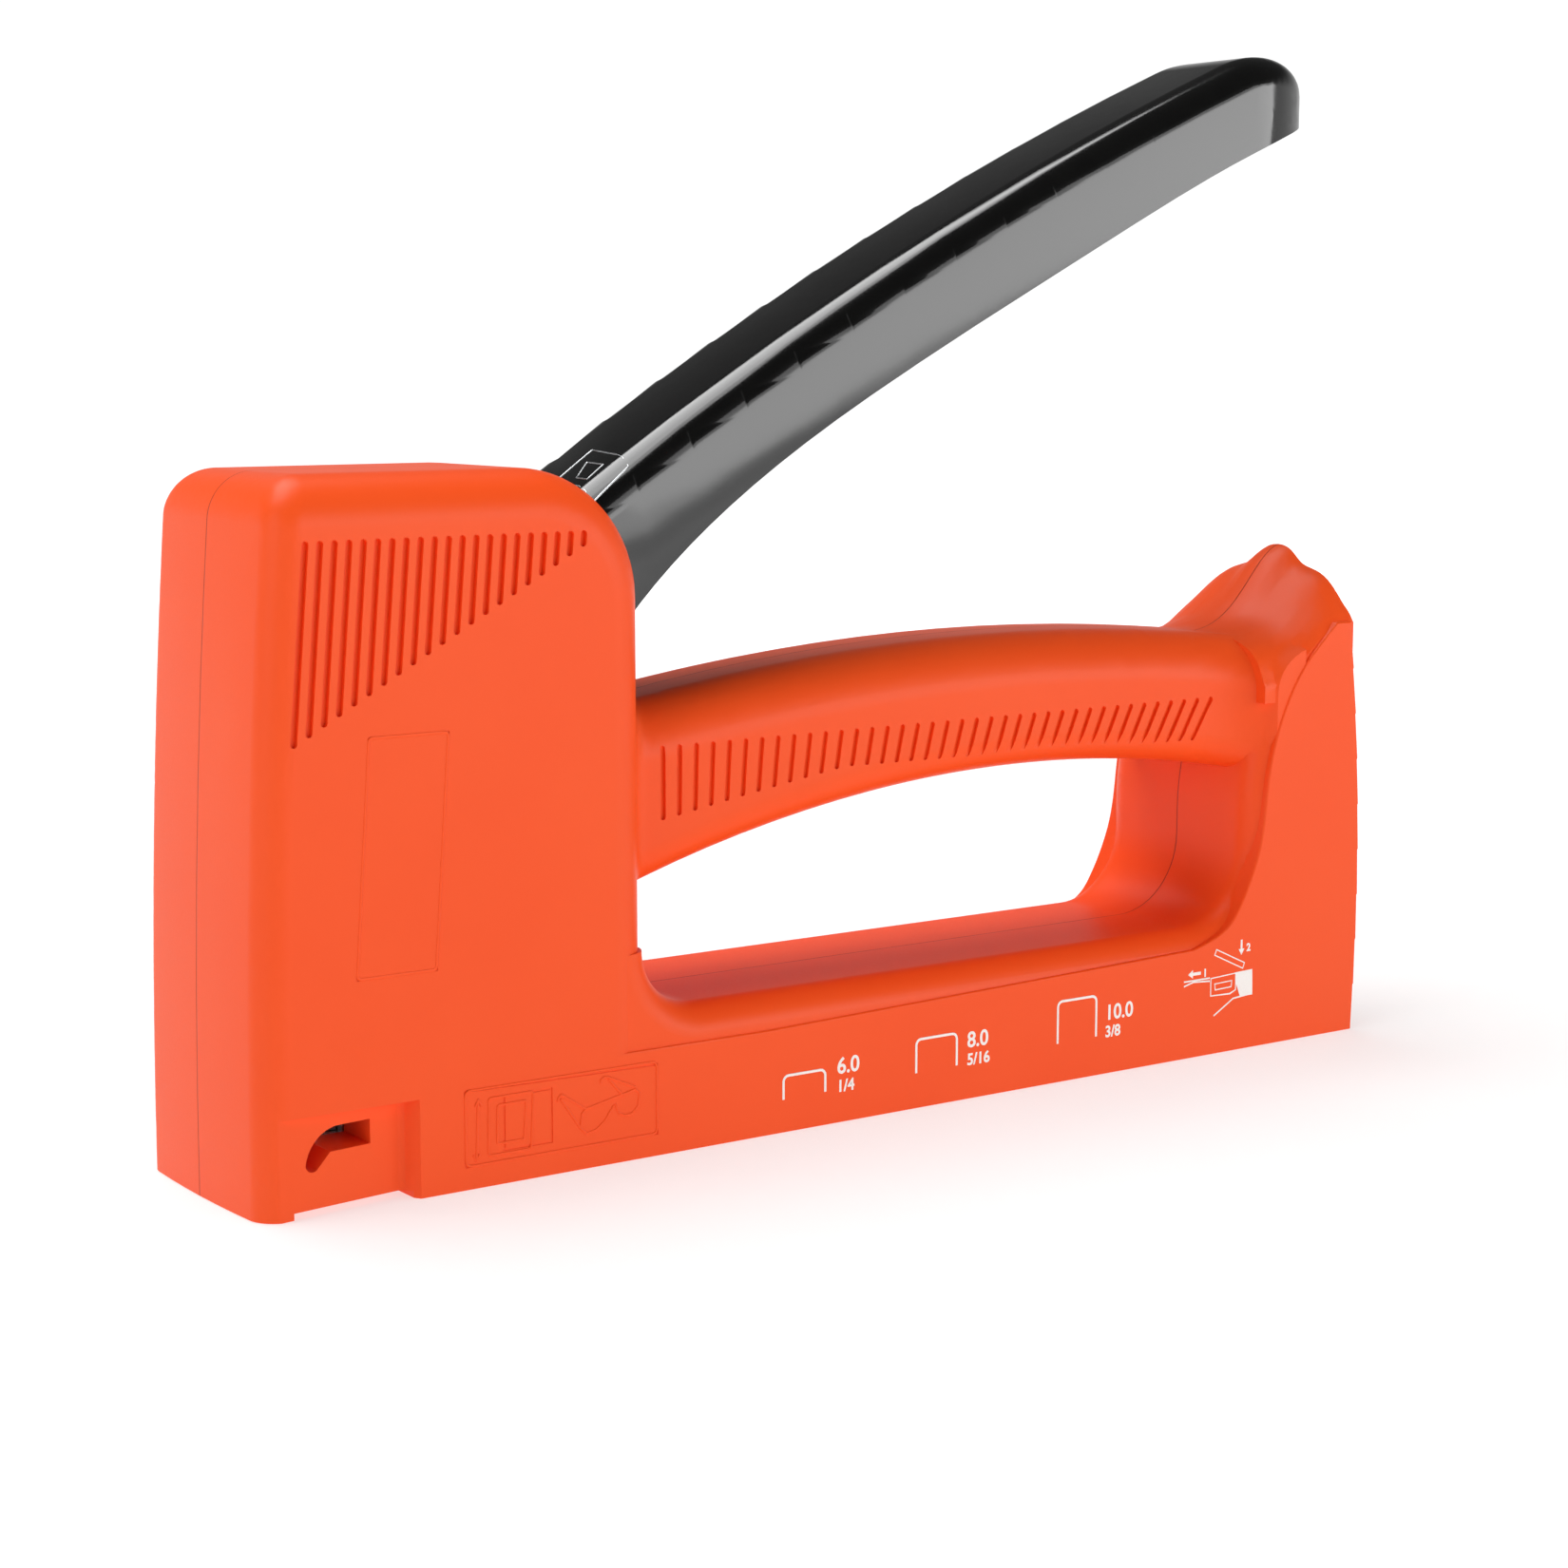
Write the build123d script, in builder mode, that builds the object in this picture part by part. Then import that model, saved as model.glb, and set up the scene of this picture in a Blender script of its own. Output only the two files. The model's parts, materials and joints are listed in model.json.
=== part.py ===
from build123d import *
from math import asin, atan2, cos, hypot, pi, radians, sin, sqrt, tan
import os

os.makedirs("parts", exist_ok=True)

# Hand staple gun.  Millimetres, +Z up, +X towards the rear, left side at -Y.
# The origin is where a staple leaves, on the base plane that rests on the work.

# ------------------------------------------------------------ sizes: casing
casing_width = 29.6           # over both shells
wall = 2.4                    # moulded wall
nose_x = -4.05                # front face on the parting line, at the base
nose_lean_radius = 880.0      # the front face leans back along this arc
nose_crown_radius = 180.0     # and is crowned across the width by this one
head_rear_x = 45.0
head_top_z = 77.6
head_back_radius = 14.5       # rear top corner of the head, in side view
head_edge_radius = 5.4        # top edges of the head
head_corner_radius = 3.4      # upright front corners
tail_x = 156.5                # furthest point of the rear face
tail_radius = 270.0           # the rear face bulges along this arc
tail_bulge_z = 18.0
tail_top_z = 54.9
rail_top_z = 16.4             # top of the lower rail on the parting line
rail_edge_radius = 3.8
ridge_width = 0.3             # the side faces stand proud of the rounding by this
ridge_radius = 0.28
bay_rear_x = 137.3            # rear end of the finger opening
bay_rear_radius = 10.0
bay_front_radius = 7.0
grip_half_width = 10.3
grip_crown_z = 55.4           # highest point of the grip, at mid length
grip_belly_z = 39.0
grip_top_edge = 6.4
grip_low_edge = 4.2
grip_root_radius = 3.0
grip_flare_radius = 13.0      # the grip widens into the tail along this arc
grip_flare_x = 131.5

# ------------------------------------------------- sizes: lever and its pivot
pivot_x = 35.0
pivot_z = 60.0
pivot_pin_radius = 2.5
squeeze_deg = 27.0            # full squeeze of the lever
lever_half_width = 9.6
lever_sheet = 1.2
lever_back_z = 126.0          # top of the lever where its tip begins to droop
lever_back_x = 137.0
lever_tip_x = 153.8
lever_edge_radius = 4.0
hub_radius = 6.5              # lever cheek around the pivot
toe_radius = 3.0              # rounded front end of the lever cheeks
toe_x = 8.5
slot_half_width = 10.3        # lever slot in the head
slot_floor_z = 53.6
slot_front_x = 37.4
running_fit = 0.05            # radial, pins in their holes
side_gap = 0.3                # between pieces of different bodies that pass each other

# ------------------------------------------------- sizes: striker and magazine
blade_thickness = 0.9
blade_width = 11.0
blade_gap = 0.15              # to the nose plate and the channel
plate_thickness = 1.0
stud_radius = 2.0
spring_x = 8.8
spring_radius = 5.6           # wire centre line
spring_wire = 0.85            # wire radius
spring_turns = 9
cage_half_width = 7.8
cage_sheet = 0.8
cage_floor_z = 22.1           # underside of the plunger at rest
bumper_z = 18.2
bumper_height = 3.6
channel_half_width = 7.0
channel_sheet = 0.9
channel_top_z = 13.6
channel_end_x = 149.5
rail_half_width = 4.8
rail_sheet = 0.8
rail_low_z = 1.2
rail_height = 9.8
rail_end_x = 150.4
rod_radius = 1.2
rod_z = 6.5
follower_length = 10.0
half = casing_width / 2
screw_places = [              # x, z and half width of the casing there
    (24.0, 71.0, half), (38.0, 25.0, half), (58.0, 42.6, grip_half_width), (121.0, 46.6, grip_half_width),
    (147.5, 42.0, half), (147.5, 21.5, half),
]
screw_radius = 1.45
screw_head_radius = 2.8
screw_head_height = 2.0
boss_wall = 1.5
bore_fit = 0.01               # radial, parts pressed into their holes

# the toes rise evenly about the pivot's height, and the studs rest just over them
toe_z = pivot_z - (pivot_x - toe_x) * tan(radians(squeeze_deg / 2))
stud_z = toe_z + toe_radius + stud_radius + side_gap


def near(value, target, gap=0.02):
    """whether two sizes are the same to a small gap"""
    return abs(value - target) < gap


def tail_line_x(z):
    """rear face of the casing at height z"""
    return tail_x - (z - tail_bulge_z) ** 2 / (2 * tail_radius)


def block(x0, x1, half_y, z0, z1):
    """a block centred across the width"""
    box = Box(x1 - x0, 2 * half_y, z1 - z0, mode=Mode.PRIVATE)
    return Pos((x0 + x1) / 2, 0, (z0 + z1) / 2) * box


def cross_pin(x, z, radius, y0, y1):
    """a round bar along Y"""
    bar = Cylinder(radius, abs(y1 - y0), mode=Mode.PRIVATE)
    return Pos(x, (y0 + y1) / 2, z) * Rot(90, 0, 0) * bar


def long_pin(y, z, radius, x0, x1):
    """a round bar along X"""
    bar = Cylinder(radius, x1 - x0, mode=Mode.PRIVATE)
    return Pos((x0 + x1) / 2, y, z) * Rot(0, 90, 0) * bar


# ------------------------------------------------------------ casing: outside
# the front face, as a barrel that the nose is trimmed by
crown_axis_x = nose_x + nose_crown_radius
barrel_top_z = head_top_z + 22.4
lean_mid = (barrel_top_z / 2) ** 2 / (2 * nose_lean_radius)
lean_top = barrel_top_z ** 2 / (2 * nose_lean_radius)
with BuildPart() as nose_barrel:
    with BuildSketch(Plane.XZ):
        with BuildLine():
            Polyline(
                (nose_x + lean_top, barrel_top_z), (crown_axis_x, barrel_top_z), (crown_axis_x, -2),
                (nose_x, -2), (nose_x, 0),
            )
            ThreePointArc((nose_x, 0), (nose_x + lean_mid, barrel_top_z / 2), (nose_x + lean_top, barrel_top_z))
        make_face()
    revolve(axis=Axis((crown_axis_x, 0, 0), (0, 0, 1)))

# head: rounded on the front corners, the brow and the top
head_front_x = nose_x + 10.0  # every edge of the front face lies in front of this
with BuildPart() as head_block:
    with BuildSketch(Plane.XZ):
        with BuildLine():
            arc_start = (head_rear_x - head_back_radius, head_top_z)
            arc_end = (head_rear_x, head_top_z - head_back_radius)
            Polyline(arc_start, (nose_x - 3, head_top_z), (nose_x - 3, 0), (head_rear_x, 0), arc_end)
            RadiusArc(arc_start, arc_end, head_back_radius)
        make_face()
    extrude(amount=half, both=True)
    add(nose_barrel.part, mode=Mode.INTERSECT)
    fillet(
        head_block.edges().filter_by(lambda e: e.center().X < head_front_x and near(abs(e.center().Y), half)),
        head_corner_radius,
    )
    fillet(
        head_block.edges().filter_by(
            lambda e: near(e.center().Z, head_top_z, 0.1)
            and (e.center().X < head_front_x or (e.center().X < 30 and near(abs(e.center().Y), half)))
        ),
        head_edge_radius,
    )

# base: lower rail and tail, out to the side faces
ledge_z = rail_top_z - rail_edge_radius - 0.2
side_line = [                 # front edge of the tail's side face, from the top down
    (bay_rear_x + 14.1, tail_top_z), (bay_rear_x + 8.5, 49.6), (bay_rear_x + 4.5, 42.9),
    (bay_rear_x + 2.3, 35.2), (bay_rear_x + 0.9, 26.0), (bay_rear_x - 2.5, 18.6),
    (bay_rear_x - 10.3, ledge_z + 1.7),
]
with BuildPart() as base_block:
    with BuildSketch(Plane.XZ):
        with BuildLine():
            Line((15, 0), (tail_line_x(0), 0))
            ThreePointArc((tail_line_x(0), 0), (tail_line_x(27), 27), (tail_line_x(tail_top_z), tail_top_z))
            Line((tail_line_x(tail_top_z), tail_top_z), (side_line[0][0], tail_top_z))
            Spline(*side_line, tangents=((-1, -0.9), (-1, -0.25)))
            Polyline(side_line[-1], (60, ledge_z), (15, ledge_z), (15, 0))
        make_face()
    extrude(amount=half, both=True)
    fillet(
        base_block.edges().filter_by(
            lambda e: near(abs(e.center().Y), half) and e.center().X > 55 and e.center().Z > 5
        ),
        ridge_radius,
    )

# core: the same outline on the parting line, set in a little and well rounded
bay_corner_z = rail_top_z + bay_rear_radius
bay_corner_x = bay_rear_x - bay_rear_radius
bay_front_x = head_rear_x + bay_front_radius
bay_front_z = rail_top_z + bay_front_radius
core_line = [                 # the same edge on the parting line, from the top down
    (bay_rear_x + 12.7, 53.0), (bay_rear_x + 6.2, 49.0), (bay_rear_x + 2.0, 42.0),
    (bay_rear_x + 0.3, 34.0), (bay_rear_x, bay_corner_z),
]
with BuildPart() as core_block:
    with BuildSketch(Plane.XZ):
        with BuildLine():
            Polyline((20, 1), (core_line[0][0], 1), core_line[0])
            Spline(*core_line, tangents=((-1, -0.5), (0, -1)))
            RadiusArc((bay_rear_x, bay_corner_z), (bay_corner_x, rail_top_z), bay_rear_radius)
            Line((bay_corner_x, rail_top_z), (bay_front_x, rail_top_z))
            RadiusArc((bay_front_x, rail_top_z), (head_rear_x, bay_front_z), bay_front_radius)
            Polyline((head_rear_x, bay_front_z), (20, bay_front_z), (20, 1))
        make_face()
    extrude(amount=half - ridge_width, both=True)
    fillet(
        core_block.edges().filter_by(
            lambda e: near(abs(e.center().Y), half - ridge_width) and near(e.center().Z, rail_top_z)
        ),
        rail_edge_radius,
    )

# grip: a rounded bar that widens into the tail
flare_half = half - 0.25
flare_rise = grip_flare_radius - (flare_half - grip_half_width)
flare_end_x = grip_flare_x + sqrt(grip_flare_radius ** 2 - flare_rise ** 2)
grip_end_x = bay_rear_x + 8.7
with BuildPart() as grip_block:
    with BuildSketch(Plane.XZ):
        with BuildLine():
            top_end = (grip_end_x, grip_crown_z - 2.8)
            low_end = (grip_end_x, grip_belly_z - 4.5)
            ThreePointArc((41, grip_crown_z - 6.0), (96, grip_crown_z), top_end)
            Line(top_end, low_end)
            ThreePointArc(low_end, (98, grip_belly_z), (41, grip_belly_z - 11.0))
            Line((41, grip_belly_z - 11.0), (41, grip_crown_z - 6.0))
        make_face()
    extrude(amount=half, both=True)
    with BuildSketch(Plane.XY):
        with BuildLine():
            Polyline((41, 0), (41, grip_half_width), (grip_flare_x, grip_half_width))
            RadiusArc((grip_flare_x, grip_half_width), (flare_end_x, flare_half), -grip_flare_radius)
            Polyline((flare_end_x, flare_half), (grip_end_x, flare_half), (grip_end_x, 0))
            mirror(about=Plane.XZ)
        make_face()
    extrude(amount=head_top_z, mode=Mode.INTERSECT)
    for edge_z, radius in ((grip_crown_z - 3, grip_top_edge), (grip_belly_z, grip_low_edge)):
        fillet(
            grip_block.edges().filter_by(
                lambda e: 60 < e.center().X < 110
                and near(abs(e.center().Y), grip_half_width)
                and abs(e.center().Z - edge_z) < 6
            ),
            radius,
        )

# knob: a thumb ramp that rises to a three-lobed crest at the rear
knob_y = (0.0, 2.4, 4.6, 7.4, 10.2, 12.6, half - 0.5)
knob_heights = [              # distance in front of the rear lip, then the height at each of knob_y
    (15.8, 53.3, 53.3, 53.2, 53.0, 52.2, 50.4, 47.2),
    (10.8, 54.7, 54.6, 54.4, 54.0, 53.2, 51.8, 49.0),
    (6.8, 58.0, 57.7, 57.0, 56.3, 55.4, 54.1, 52.2),
    (3.3, 62.0, 61.5, 60.3, 59.5, 58.2, 56.2, 54.2),
    (0.0, 64.3, 63.7, 62.0, 61.1, 59.4, 56.8, 54.7),
]
knob_lip_x = tail_x - 1.7
with BuildPart() as knob_block:
    for ahead, *heights in knob_heights:
        with BuildSketch(Plane.YZ.offset(knob_lip_x - ahead)):
            with BuildLine():
                spots = list(zip(knob_y, heights))
                Spline(*spots, tangents=((1, 0), (0.6, -1)))
                Polyline(spots[-1], (knob_y[-1], 45.0), (0, 45.0))
                mirror(about=Plane.YZ)
            make_face()
    loft()

with BuildPart() as outside:
    add(head_block.part)
    add(base_block.part)
    add(core_block.part)
    add(grip_block.part)
    add(knob_block.part)
    fillet(
        outside.edges().filter_by(
            lambda e: near(e.center().X, head_rear_x)
            and 27 < e.center().Z < 52
            and abs(e.center().Y) < grip_half_width + 0.1
        ),
        grip_root_radius,
    )


# ----------------------------------------------------- casing: surface details
# These sizes are for the left side; the right side mirrors them.
groove_width = 0.8
groove_depth = 0.6
head_grooves = 21
head_groove_x = 2.9
head_groove_top_z = 70.5
head_groove_pitch = 1.66
head_groove_length = 20.4
head_groove_lean = 5.0
grip_grooves = 38
grip_groove_x = 49.0
grip_groove_pitch = 2.25
grip_groove_top_z = 45.6
grip_groove_length = 3.6
grip_groove_lean = 31.0       # reached at the last groove; the first one is upright
grip_groove_depth = 0.45
grip_groove_width = 0.7
panel_depth = 0.1
line_width = 0.3
facet_depth = 2.0             # the thumb scoop at the staple window
facet_top_z = 10.9
facet_end_x = 13.6
foot_relief_z = 0.75
window_floor_z = 6.6
window_top_z = 9.3


def side_slot(start, end, depth, width):
    """cutter for a round-ended groove on the left side; start and end are x, half width there, z"""
    low = Vector(start[0], depth - start[1], start[2])
    run = Vector(end[0], depth - end[1], end[2]) - low
    along = run.normalized()
    outward = Vector(0, -1, 0)
    outward = outward - along * outward.dot(along)
    plane = Plane(low, x_dir=along, z_dir=outward)
    return extrude(plane * Pos(run.length / 2, 0) * SlotCenterToCenter(run.length, width), depth + 1)


def grip_side_y(x):
    """half width of the grip at x"""
    run = max(0.0, x - grip_flare_x)
    return grip_half_width + grip_flare_radius - sqrt(grip_flare_radius ** 2 - run ** 2)


groove_cuts = []
for i in range(head_grooves):
    top_x = head_groove_x + i * head_groove_pitch
    length = head_groove_length * (1 - i / head_grooves)
    lean = radians(head_groove_lean)
    low_end = (top_x - length * sin(lean), half, head_groove_top_z - length * cos(lean))
    groove_cuts.append(side_slot((top_x, half, head_groove_top_z), low_end, groove_depth, groove_width))
for i in range(grip_grooves):
    share = i / (grip_grooves - 1)
    x = grip_groove_x + i * grip_groove_pitch
    length = grip_groove_length + 4.2 * max(0.0, 1 - share * 3.2) + 2.0 * share ** 2
    lean = radians(grip_groove_lean * share)
    x_top = x + 1.7 * sin(lean)
    x_low = x_top - length * sin(lean)
    z_low = grip_groove_top_z - length * cos(lean)
    groove_cuts.append(
        side_slot(
            (x_top, grip_side_y(x_top), grip_groove_top_z), (x_low, grip_side_y(x_low), z_low),
            grip_groove_depth, grip_groove_width,
        )
    )

label_panel = [(9.7, 50.2), (19.1, 50.2), (17.2, 24.8), (7.8, 24.8)]
lower_panel = [(20.4, 11.0), (45.0, 10.6), (45.0, 2.6), (20.4, 2.6)]
icon_panel = [(25.2, 9.8), (31.2, 9.8), (31.2, 3.8), (25.2, 3.8)]
for corners in (label_panel, lower_panel, icon_panel):
    for start, end in zip(corners, corners[1:] + corners[:1]):
        start = (start[0], half, start[1])
        end = (end[0], half, end[1])
        groove_cuts.append(side_slot(start, end, panel_depth, line_width))

with BuildPart() as side_details:
    for cut in groove_cuts:
        add(cut)
    with BuildSketch(Plane.XY.offset(-1)):
        with BuildLine():
            Polyline(
                (-6, -half - 1), (-3.2, -half), (facet_end_x, -half + facet_depth),
                (facet_end_x + 1.3, -half), (facet_end_x + 1.3, -half - 1), (-6, -half - 1),
            )
        make_face()
    extrude(amount=facet_top_z + 1)
    scoop_edges = side_details.edges().filter_by(Axis.Z).filter_by(
        lambda e: near(e.center().X, facet_end_x, 0.1) and near(e.center().Y, facet_depth - half, 0.1)
    )
    fillet(scoop_edges, 0.9)
    with BuildSketch(Plane.XZ.offset(channel_half_width)):
        with BuildLine():
            Polyline((9.7, window_top_z), (5.4, window_top_z))
            ThreePointArc((5.4, window_top_z), (2.8, 8.0), (1.6, 5.6))
            ThreePointArc((1.6, 5.6), (2.2, 4.8), (3.2, 5.1))
            Line((3.2, 5.1), (4.7, window_floor_z))
            Polyline((4.7, window_floor_z), (9.7, window_floor_z), (9.7, window_top_z))
        make_face()
    extrude(amount=half)

# ------------------------------------------------------------- casing: hollows
blade_x = blade_thickness / 2
plate_x = -blade_x - blade_gap
channel_x = blade_x + 0.3
cavity_half = half - wall
mag_half = channel_half_width + 0.15
roof_z = channel_top_z + 0.25
cage_front_x = blade_x + 0.15
inner_top_z = head_top_z - wall - 0.6
way_top_z = cage_floor_z + 25.5
hollow_x = head_rear_x - wall - 1

with BuildPart() as hollow:
    # striker bay and the space behind it
    with BuildSketch(Plane.XZ):
        with BuildLine():
            inner_back = head_back_radius - wall
            Polyline(
                (head_rear_x - head_back_radius, inner_top_z), (1.4, inner_top_z), (1.4, bumper_z),
                (head_rear_x - wall, bumper_z), (head_rear_x - wall, inner_top_z - inner_back),
            )
            RadiusArc(
                (head_rear_x - head_back_radius, inner_top_z), (head_rear_x - wall, inner_top_z - inner_back),
                inner_back,
            )
        make_face()
    extrude(amount=cavity_half, both=True)
    # its front corners keep clear of the rounded brow
    chamfer(hollow.edges().filter_by(Axis.Z).filter_by(lambda e: near(e.center().X, 1.4)), 3.0)
    # grip and tail
    with BuildSketch(Plane.XZ):
        with BuildLine():
            Polyline(
                (hollow_x, 46.6), (96, grip_crown_z - wall - 0.3), (tail_x - 6.5, 50.2), (tail_x - 5.0, 18.6),
                (bay_rear_x + 5.5, 18.6), (bay_rear_x + 3.4, 40.0), (98, grip_belly_z + wall), (60, 37.6),
                (hollow_x, 33.5), (hollow_x, 46.6),
            )
        make_face()
    extrude(amount=grip_half_width - wall, both=True)
    add(block(bay_rear_x + 5.5, tail_x - 4.5, cavity_half, 18.6, 46.0))
    # lower rail, open at the parting line, with ribs that hold the magazine
    add(block(18.0, tail_x - 4.0, cavity_half, wall, rail_top_z - wall))
    for i in range(7):
        rib_x = 36.0 + i * 18.0
        add(block(rib_x, rib_x + 2.0, cavity_half + 1, wall - 1, rail_top_z), mode=Mode.SUBTRACT)
    add(block(tail_x - 6.5, tail_x - 5.1, cavity_half + 1, wall - 1, rail_top_z), mode=Mode.SUBTRACT)
    # magazine way, open at the base and the tail
    add(block(plate_x - plate_thickness - 0.05, tail_x + 5, mag_half, -1, roof_z))
    # nose plate and blade way
    add(block(plate_x - plate_thickness - 0.05, channel_x, 8.7, 0.15, 37.0))
    add(block(plate_x - 0.15, 1.5, blade_width / 2 + 0.7, 30.0, way_top_z))
    add(block(cage_front_x - 0.3, 1.5, cage_half_width + side_gap, bumper_z, way_top_z))
    # lever slot
    add(block(slot_front_x, head_rear_x + 4, slot_half_width, slot_floor_z, head_top_z + 1))
    # foot relief
    add(block(0.1, facet_end_x + 0.8, half + 1, -1, foot_relief_z))

# pockets that hold the magazine channel's lugs
lug_x = [(20.0, 26.0), (100.0, 106.0)]
lug_z = (6.0, 10.0)
lug_reach = 2.0
with BuildPart() as lug_pockets:
    for x0, x1 in lug_x:
        add(block(x0 - 0.1, x1 + 0.1, channel_half_width + lug_reach + 0.1, lug_z[0] - 0.1, lug_z[1] + 0.1))

screw_sink = 3.0              # from the side face to under the screw head
screw_reach = 4.4             # from the far side face to the screw's point
stop_x = 20.0                 # stop pin, which a leg of the return spring rests on
stop_z = 48.4
stop_radius = 2.0
rib_sheet = 1.6
with BuildPart() as bosses:
    for x, z, side_y in screw_places:
        add(cross_pin(x, z, screw_radius + boss_wall, 1 - side_y, side_y - 1))
        add(cross_pin(x, z, screw_head_radius + 0.2 + boss_wall, side_y - screw_sink - boss_wall, side_y - 1))
    for side in (-1, 1):
        inner_y = lever_half_width + side_gap
        outer_y = cavity_half + 0.5
        add(cross_pin(pivot_x, pivot_z, pivot_pin_radius + 3.0, side * inner_y, side * outer_y))
        # ribs that guide the plunger's studs
        rib_reach = stud_radius + 0.35 + rib_sheet / 2
        for rib_x in (spring_x - rib_reach, spring_x + rib_reach):
            rib = Box(rib_sheet, outer_y - inner_y, 52.0, mode=Mode.PRIVATE)
            add(Pos(rib_x, side * (inner_y + outer_y) / 2, 46.0) * rib)
        # seat for the stop pin
        add(cross_pin(stop_x, stop_z, stop_radius + 1.6, side * inner_y, side * outer_y))
with BuildPart() as holes:
    add(cross_pin(pivot_x, pivot_z, pivot_pin_radius + bore_fit, -cavity_half - 0.3, cavity_half + 0.3))
    add(cross_pin(stop_x, stop_z, stop_radius + bore_fit, -cavity_half, cavity_half))
    for x, z, side_y in screw_places:
        add(cross_pin(x, z, screw_radius + 0.03, screw_reach - side_y - 0.5, side_y))
        add(cross_pin(x, z, screw_head_radius + 0.2, side_y - screw_sink, half + 1))

with BuildPart() as casing:
    add(outside.part)
    add(side_details.part, mode=Mode.SUBTRACT)
    add(mirror(side_details.part, Plane.XZ), mode=Mode.SUBTRACT)
    add(hollow.part, mode=Mode.SUBTRACT)
    add(bosses.part)
    add(lug_pockets.part, mode=Mode.SUBTRACT)
    add(holes.part, mode=Mode.SUBTRACT)

with BuildPart() as shell_left:
    add(casing.part)
    split(bisect_by=Plane.XZ, keep=Keep.TOP)
shell_left.part.label = "shell_left"
with BuildPart() as shell_right:
    add(casing.part)
    split(bisect_by=Plane.XZ, keep=Keep.BOTTOM)
shell_right.part.label = "shell_right"

with BuildPart() as shell_screws:
    for x, z, side_y in screw_places:
        add(cross_pin(x, z, screw_radius, screw_reach - side_y, side_y - screw_sink + 0.1))
        add(cross_pin(x, z, screw_head_radius, side_y - screw_sink, side_y - screw_sink + screw_head_height))
    heads = shell_screws.edges().filter_by(GeomType.CIRCLE).filter_by(lambda e: e.radius > 2)
    fillet(heads.filter_by(lambda e: e.center().Y > 9.2), 0.5)
    for x, z, side_y in screw_places:
        top = side_y - screw_sink + screw_head_height
        with BuildSketch(Plane((x, top, z), x_dir=(1, 0, 0), z_dir=(0, 1, 0))):
            Rectangle(3.4, 0.7)
            Rectangle(0.7, 3.4)
        extrude(amount=-1.1, mode=Mode.SUBTRACT)
shell_screws.part.label = "shell_screws"


# -------------------------------------------------------------------- lever
back_start = (38.0, 73.1)
back_mid = (94.2, 106.2)
droop_radius = 18.8
droop_turn = 70.0
tip_round = 13.5              # length of the tip's rounding, in plan
lever_low_z = 120.4           # lower rim at the tip

with BuildLine() as lever_back:
    back = ThreePointArc(back_start, back_mid, (lever_back_x, lever_back_z))
    droop = JernArc(back @ 1, back % 1, droop_radius, -droop_turn)
back_centre = back.arc_center
droop_centre = droop.arc_center
back_radius = back.radius


def on_back(point, centre, radius):
    """the point pushed radially onto a circle"""
    away = Vector(point[0], point[1]) - Vector(centre.X, centre.Y)
    spot = Vector(centre.X, centre.Y) + away.normalized() * radius
    return (spot.X, spot.Y)


def lever_solid(inset, below):
    """the lever's pressed form; inset shrinks it, and below closes its underside"""
    start = on_back(back_start, back_centre, back_radius - inset)
    mid = on_back(back_mid, back_centre, back_radius - inset)
    joint = on_back(tuple(back @ 1), back_centre, back_radius - inset)
    low = on_back(tuple(droop @ 0.5), droop_centre, droop_radius - inset)
    end = on_back(tuple(droop @ 1), droop_centre, droop_radius - inset)
    y_edge = lever_half_width - inset
    with BuildPart(mode=Mode.PRIVATE) as form:
        with BuildSketch(Plane.XZ):
            with BuildLine():
                ThreePointArc(start, mid, joint)
                ThreePointArc(joint, low, end)
                below(start, end)
            make_face()
        extrude(amount=y_edge, both=True)
        with BuildSketch(Plane.XY):
            centre_x = lever_tip_x - tip_round
            with Locations((centre_x / 2, 0)):
                Rectangle(centre_x, 2 * y_edge)
            with Locations((centre_x, 0)):
                Ellipse(tip_round - inset, y_edge)
        extrude(amount=140, mode=Mode.INTERSECT)
        fillet(
            form.edges().filter_by(
                lambda e: near(e.center().X, 86, 3) and abs(e.center().Y) > 5 and e.center().Z > 96
            ),
            lever_edge_radius - inset,
        )
    return form.part


def lever_underside(start, end):
    """the pressed rim of the lever, from the tip back to the head"""
    rim = (end[0], lever_low_z)
    Line(end, rim)
    Spline(
        rim, (151.5, 118.9), (145.5, 117.2), (139.7, 115.0), (112.6, 102.2), (81.3, 86.3), (61.0, 74.2),
        (46.6, 62.2), (41.0, 55.6),
    )
    Polyline((41.0, 55.6), (37.5, pivot_z - hub_radius + 0.5), start)


def lever_hollow(start, end):
    """closes the hollow well below the rim"""
    Polyline(end, (end[0], 100), (60, 20), (20, 20), (20, start[1]), start)


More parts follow.
